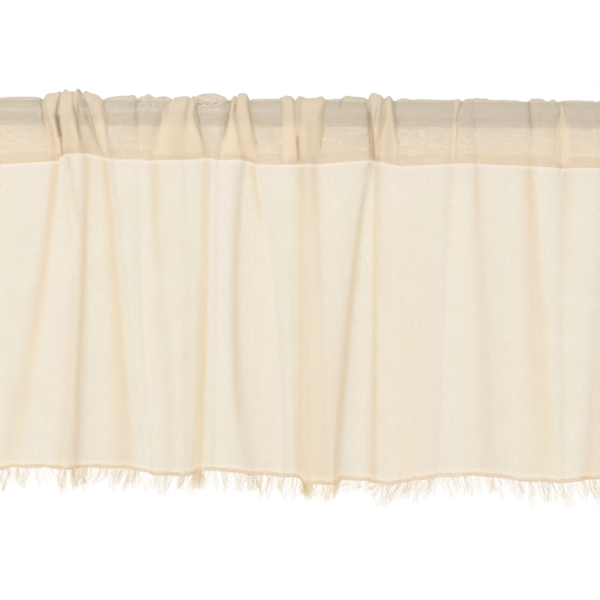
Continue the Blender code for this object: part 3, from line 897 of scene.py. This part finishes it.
def thread_path(start, tip, sway):
    """Points of one hanging thread from its root on the hem to its tip."""
    t = np.linspace(0, 1, FRINGE_STEPS)[:, None]
    bend = sum(sway[i] * np.sin((i + 1) * math.pi * t) for i in range(len(sway)))
    points = start + (tip - start) * (t + THREAD_EASE * np.sin(math.pi * t))
    points[:, 0] += bend[:, 0]
    points[:, 1] += SWAY_DEPTH * bend[:, 0]
    return points


def tuft(path, rng, place, kind):
    """The threads of one tuft, whose roots are spread along the hem and whose tips lie together."""
    lean = rng.uniform(*kind.lean) * MM
    length = rng.uniform(*kind.lengths) * MM
    roots = place + rng.uniform(-0.5, 0.5, kind.threads) * kind.spread * MM
    starts = on_path(path, roots)
    tip = starts.mean(axis=0) + [lean, rng.uniform(-TIP_DEPTH, TIP_DEPTH) * MM, -length]
    loose = [kind.loose * MM, END_DEPTH * MM, END_HEIGHT * length]
    threads = []
    for start in starts:
        middle = tip
        if rng.random() <= STRAY_SHARE:
            middle = start + [lean, 0, -rng.uniform(*STRAY_LENGTHS) * length]
        end = middle + rng.uniform(-1, 1, 3) * loose
        sway = rng.uniform(-1, 1, len(FRINGE_SWAY)) * FRINGE_SWAY * MM
        threads.append(thread_path(start, end, sway))
    return threads


def make_fringe(material):
    """The fringe: the loose threads that hang from the foot of the hem."""
    path = hem_path()
    rng = np.random.default_rng(FRINGE_SEED)
    total = path[1][-1]
    paths = []
    warmth = []
    place = FRINGE_MARGIN
    while place < total - FRINGE_MARGIN:
        x = (on_path(path, np.array([place]))[0, 0] - ROD_MIDDLE) / MM
        kind = next((zone for zone in TUFT_ZONES if zone.start <= x < zone.stop), PLAIN_TUFT)
        paths += tuft(path, rng, place, kind)
        warmth += [kind.warmth] * kind.threads
        place += rng.uniform(*PITCH_RANGE) * kind.pitch * MM
    paths = np.array(paths)
    taper = np.linspace(1, TIP_TAPER, FRINGE_STEPS)
    radii = rng.uniform(*FRINGE_RADII, len(paths))[:, None] * taper * MM
    threads = make_tubes("fringe_threads", paths, radii, material)
    point_values(threads, "warm", np.repeat(warmth, len(threads.data.vertices) // len(paths)))
    return threads


def make_edge(material):
    """The two fine threads twisted together along the foot of the hem."""
    path = hem_path()
    lengths = np.linspace(0, path[1][-1], EDGE_STEPS)
    middle = on_path(path, lengths) + [0, 0, -EDGE_RADIUS]
    turn = 2 * math.pi * lengths / EDGE_TWIST
    strands = []
    for start in (0, math.pi):
        around = np.stack([np.zeros(EDGE_STEPS), np.cos(turn + start), np.sin(turn + start)], axis=1)
        strands.append(middle + around * EDGE_RADIUS * STRAND_OFFSET)
    radii = np.full((2, EDGE_STEPS), EDGE_RADIUS * STRAND_SHARE)
    return make_tubes("fringe_edge", np.array(strands), radii, material)


def sewn_rows():
    """The rows of the cloth that stitches run along: the seam, and one just under the hem's top."""
    seam = seam_row(section_rows())
    height = HEM_HEIGHT - HEM_STITCH_DROP
    fall = (SEAM_Z - HEM_Z - height) / (SEAM_Z - HEM_Z)
    return seam, seam._replace(z=HEM_Z + height, fall=fall)


def make_stitches(name, row, rise, material):
    """Running stitches on the front of the cloth, so far over one of its rows."""
    path = with_lengths(row_points(row) + [0, 0, rise])
    starts = np.arange(STITCH_PITCH, path[1][-1] - STITCH_PITCH, STITCH_PITCH)
    t = np.linspace(0, 1, STITCH_STEPS)
    paths = on_path(path, starts[:, None] + t * STITCH_LENGTH)
    paths[..., 1] -= np.sin(math.pi * t) * STITCH_RADIUS * STITCH_BULGE
    radii = np.full(paths.shape[:2], STITCH_RADIUS)
    return make_tubes(name, paths, radii, material)


def add_node(tree, kind, inputs=None, **settings):
    """Adds a node, with its settings and a value or a link for each input that is named."""
    node = tree.nodes.new("ShaderNode" + kind)
    for key, value in settings.items():
        setattr(node, key, value)
    for key, value in (inputs or {}).items():
        if isinstance(value, bpy.types.NodeSocket):
            tree.links.new(value, node.inputs[key])
        else:
            node.inputs[key].default_value = value
    return node


def maths(tree, operation, *values):
    """The result of a math node on values or links."""
    return add_node(tree, "Math", dict(enumerate(values)), operation=operation).outputs[0]


def noise(tree, place, scale, detail=2.0):
    """Noise from 0 to 1 at a place."""
    inputs = {"Vector": place, "Scale": scale, "Detail": detail}
    return add_node(tree, "TexNoise", inputs).outputs["Fac"]


def vector(tree, x, y):
    """A place from two numbers."""
    return add_node(tree, "CombineXYZ", {"X": x, "Y": y}).outputs[0]


def ramp(tree, value, stops):
    """A colour from a value, by (place, colour) stops."""
    node = add_node(tree, "ValToRGB", {"Fac": value})
    elements = node.color_ramp.elements
    while len(elements) < len(stops):
        elements.new(0.5)
    for element, (place, colour) in zip(elements, stops):
        element.position = place
        element.color = (*colour, 1)
    return node.outputs["Color"]


def blend_colours(tree, share, colour, other):
    """A colour blended with another one by a share."""
    inputs = {MIX_SHARE: share, MIX_FIRST: colour, MIX_SECOND: (*other, 1)}
    return add_node(tree, "Mix", inputs, data_type="RGBA").outputs[MIX_RESULT]


def attribute(tree, name):
    """A number that the points of the mesh have."""
    return add_node(tree, "Attribute", attribute_name=name).outputs["Fac"]


def new_material(name):
    """An empty node material, and its node tree."""
    material = bpy.data.materials.new(name)
    material.use_nodes = True
    material.node_tree.nodes.clear()
    return material, material.node_tree


def finish_material(material, shader):
    """Links the last shader to the material's output."""
    add_node(material.node_tree, "OutputMaterial", {"Surface": shader})
    return material


def thread_lines(tree, across, along, close, uneven):
    """Where the threads that run one way lie: their cover, 0 or 1, and their roundness."""
    sway_x = maths(tree, "DIVIDE", across, SWAY_PITCH[0])
    sway_y = maths(tree, "DIVIDE", along, SWAY_PITCH[1])
    sway = maths(tree, "MULTIPLY", noise(tree, vector(tree, sway_x, sway_y), 1.0), THREAD_SWAY)
    phase = maths(tree, "ADD", maths(tree, "DIVIDE", across, THREAD_PITCH), sway)
    slub_x = maths(tree, "MULTIPLY", maths(tree, "FLOOR", phase), SLUB_STEP)
    slub_y = maths(tree, "DIVIDE", along, SLUB_LENGTH)
    slub = noise(tree, vector(tree, slub_x, slub_y), 1.0)
    offset = maths(tree, "SUBTRACT", maths(tree, "FRACT", phase), 0.5)
    distance = maths(tree, "MULTIPLY", maths(tree, "ABSOLUTE", offset), 2.0)
    thickness = maths(tree, "MULTIPLY", maths(tree, "SUBTRACT", slub, 0.5), uneven)
    share = maths(tree, "MULTIPLY", maths(tree, "ADD", thickness, 1.0), THREAD_SHARE)
    width = maths(tree, "MULTIPLY", share, close)
    cover = maths(tree, "LESS_THAN", distance, width)
    reach = maths(tree, "MINIMUM", maths(tree, "DIVIDE", distance, width), 1.0)
    round_top = maths(tree, "SQRT", maths(tree, "SUBTRACT", 1.0, maths(tree, "MULTIPLY", reach, reach)))
    return cover, round_top


def thread_shader(tree, colour, height, glow, depth):
    """Threads that scatter light back and let some of it through."""
    bump = add_node(tree, "Bump", {"Height": height, "Distance": depth, "Strength": 0.6})
    solid = add_node(tree, "BsdfPrincipled", {
        "Base Color": colour,
        "Roughness": 0.88,
        "Specular IOR Level": 0.25,
        "Sheen Weight": 0.15,
        "Sheen Roughness": 0.5,
        "Normal": bump.outputs[0],
    })
    through = add_node(tree, "BsdfTranslucent", {"Color": colour, "Normal": bump.outputs[0]})
    shaders = {"Fac": glow, 1: solid.outputs[0], 2: through.outputs[0]}
    return add_node(tree, "MixShader", shaders).outputs[0]


def cloth_material():
    """Sheer open plain weave of uneven threads, denser where the cloth turns from the front, with
    painted light and shade in its colour.
    """
    material, tree = new_material("sheer_weave")
    uv = add_node(tree, "UVMap", uv_map="threads").outputs[0]
    split = add_node(tree, "SeparateXYZ", {0: uv})
    across, along = split.outputs[0], split.outputs[1]
    slub = attribute(tree, "slub")
    warp, warp_top = thread_lines(tree, across, along, attribute(tree, "close_across"), slub)
    weft, weft_top = thread_lines(tree, along, across, attribute(tree, "close_along"), slub)
    cover = maths(tree, "MAXIMUM", warp, weft)
    height = maths(tree, "MAXIMUM", warp_top, weft_top)
    patches = noise(tree, uv, CLOTH_MOTTLE)
    plain = ramp(tree, patches, [(0.3, CLOTH_DARK), (0.7, CLOTH_LIGHT)])
    rosy = blend_colours(tree, attribute(tree, "rosy"), plain, ROSE)
    warm = blend_colours(tree, attribute(tree, "warm"), rosy, FOLD_WARM_SHADE)
    shaded = blend_colours(tree, attribute(tree, "shade"), warm, CREASE_SHADE)
    # Painted light and shade scale the thread's colour
    painted_light_inputs = {0: shaded, "Scale": attribute(tree, "painted_light")}
    colour = add_node(tree, "VectorMath", painted_light_inputs, operation="SCALE").outputs[0]
    threads = thread_shader(tree, colour, height, CLOTH_GLOW, CLOTH_BUMP)
    clear = add_node(tree, "BsdfTransparent").outputs[0]
    mixed = add_node(tree, "MixShader", {"Fac": cover, 1: clear, 2: threads}).outputs[0]
    return finish_material(material, mixed)


def yarn_material(name, light, dark):
    """Loose spun yarn, mottled along its length, with painted warm shade where its threads are bundled.
    """
    material, tree = new_material(name)
    place = add_node(tree, "TexCoord").outputs["Object"]
    mottled = ramp(tree, noise(tree, place, YARN_MOTTLE, detail=3.0), [(0.35, dark), (0.65, light)])
    colour = blend_colours(tree, attribute(tree, "warm"), mottled, YARN_WARM_SHADE)
    fuzz = noise(tree, place, YARN_FUZZ)
    return finish_material(material, thread_shader(tree, colour, fuzz, YARN_GLOW, YARN_BUMP))


def rod_material():
    """Satin metal, drawn along the rod."""
    material, tree = new_material("satin_metal")
    place = add_node(tree, "TexCoord").outputs["Object"]
    stretched = add_node(tree, "Mapping", {"Vector": place, "Scale": ROD_DRAWN})
    lines = noise(tree, stretched.outputs[0], 1.0, detail=4.0)
    colour = ramp(tree, lines, [(0.3, ROD_DARK), (0.7, ROD_LIGHT)])
    uneven = maths(tree, "MULTIPLY", lines, ROD_ROUGHNESS_RANGE)
    bump = add_node(tree, "Bump", {"Height": lines, "Distance": 0.00005, "Strength": 0.4})
    metal = add_node(tree, "BsdfPrincipled", {
        "Base Color": colour,
        "Metallic": 0.9,
        "Roughness": maths(tree, "ADD", uneven, ROD_ROUGHNESS),
        "Normal": bump.outputs[0],
    })
    return finish_material(material, metal.outputs[0])


def floor_material():
    """Plain pale floor with a barely mottled matt finish."""
    material, tree = new_material("pale_floor")
    place = add_node(tree, "TexCoord").outputs["Object"]
    colour = ramp(tree, noise(tree, place, 3.0), [(0.3, FLOOR_DARK), (0.7, FLOOR_LIGHT)])
    matt = add_node(tree, "BsdfPrincipled", {"Base Color": colour, "Roughness": 0.85})
    return finish_material(material, matt.outputs[0])


def make_floor():
    """The square floor, far enough below to stay out of the picture."""
    corners = [(-1, -1), (1, -1), (1, 1), (-1, 1)]
    points = np.array([(ROD_MIDDLE + x * FLOOR_REACH, y * FLOOR_REACH, FLOOR_Z) for x, y in corners])
    floor = add_mesh("floor", points, np.array([[0, 1, 2, 3]]), floor_material())


def make_camera():
    """The photograph's camera: almost level, a little to the right of the middle."""
    yaw = math.radians(CAMERA_YAW)
    offset = Vector((math.sin(yaw), -math.cos(yaw), 0)) * CAMERA_DISTANCE
    data = bpy.data.cameras.new("camera")
    data.sensor_width = SENSOR_WIDTH
    data.lens = SENSOR_WIDTH * CAMERA_DISTANCE / PICTURE_WIDTH
    camera = new_object("camera", data)
    look = (-offset).to_track_quat("-Z", "Y").to_matrix()
    roll = Euler((0, 0, math.radians(CAMERA_ROLL))).to_matrix()
    camera.matrix_world = (look @ roll).to_4x4()
    camera.location = PICTURE_MIDDLE + offset
    bpy.context.scene.camera = camera


def add_lamp(lamp):
    """A soft square lamp aimed at the middle of the picture."""
    data = bpy.data.lights.new(lamp.name, "AREA")
    data.size = lamp.size
    data.energy = lamp.power
    light = new_object(lamp.name, data)
    light.location = Vector((lamp.x, lamp.y, lamp.z))
    light.rotation_euler = (PICTURE_MIDDLE - light.location).to_track_quat("-Z", "Y").to_euler()


def make_lights():
    """A white surround, seen as plain white, and large soft lamps, the stronger one on the left."""
    world = bpy.data.worlds.new("white_studio")
    bpy.context.scene.world = world
    world.use_nodes = True
    tree = world.node_tree
    tree.nodes.clear()
    seen = add_node(tree, "Background", {"Color": (1, 1, 1, 1), "Strength": 1.0})
    lit = add_node(tree, "Background", {"Color": (1, 1, 1, 1), "Strength": WORLD_LIGHT})
    ray = add_node(tree, "LightPath").outputs["Is Camera Ray"]
    mixed = add_node(tree, "MixShader", {"Fac": ray, 1: lit.outputs[0], 2: seen.outputs[0]})
    add_node(tree, "OutputWorld", {"Surface": mixed.outputs[0]})
    for lamp in LAMPS:
        add_lamp(lamp)
    bpy.context.scene.view_settings.view_transform = "Standard"


def main():
    """Makes the pieces, the camera and the lights."""
    make_camera()
    make_lights()
    make_floor()
    weave = cloth_material()
    yarn = yarn_material("fringe_yarn", YARN_LIGHT, YARN_DARK)
    sewing = yarn_material("sewing_thread", SEWING_LIGHT, SEWING_DARK)
    sheet, length = make_sheet(weave)
    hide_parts("panel")
    threads = make_fringe(yarn)
    edge = make_edge(sewing)
    seam_line, hem_line = sewn_rows()
    seam = make_stitches("seam_stitches", seam_line, SEAM_STITCH_RISE, sewing)
    hem = make_stitches("hem_stitches", hem_line, 0, sewing)
    for piece in (threads, edge):
        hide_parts("fringe")
    for piece in (sheet, threads, edge, seam, hem):
        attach(piece, "root")
    rod = bpy.data.objects["rod"]
    rod.data.materials.clear()
    rod.data.materials.append(rod_material())


main()
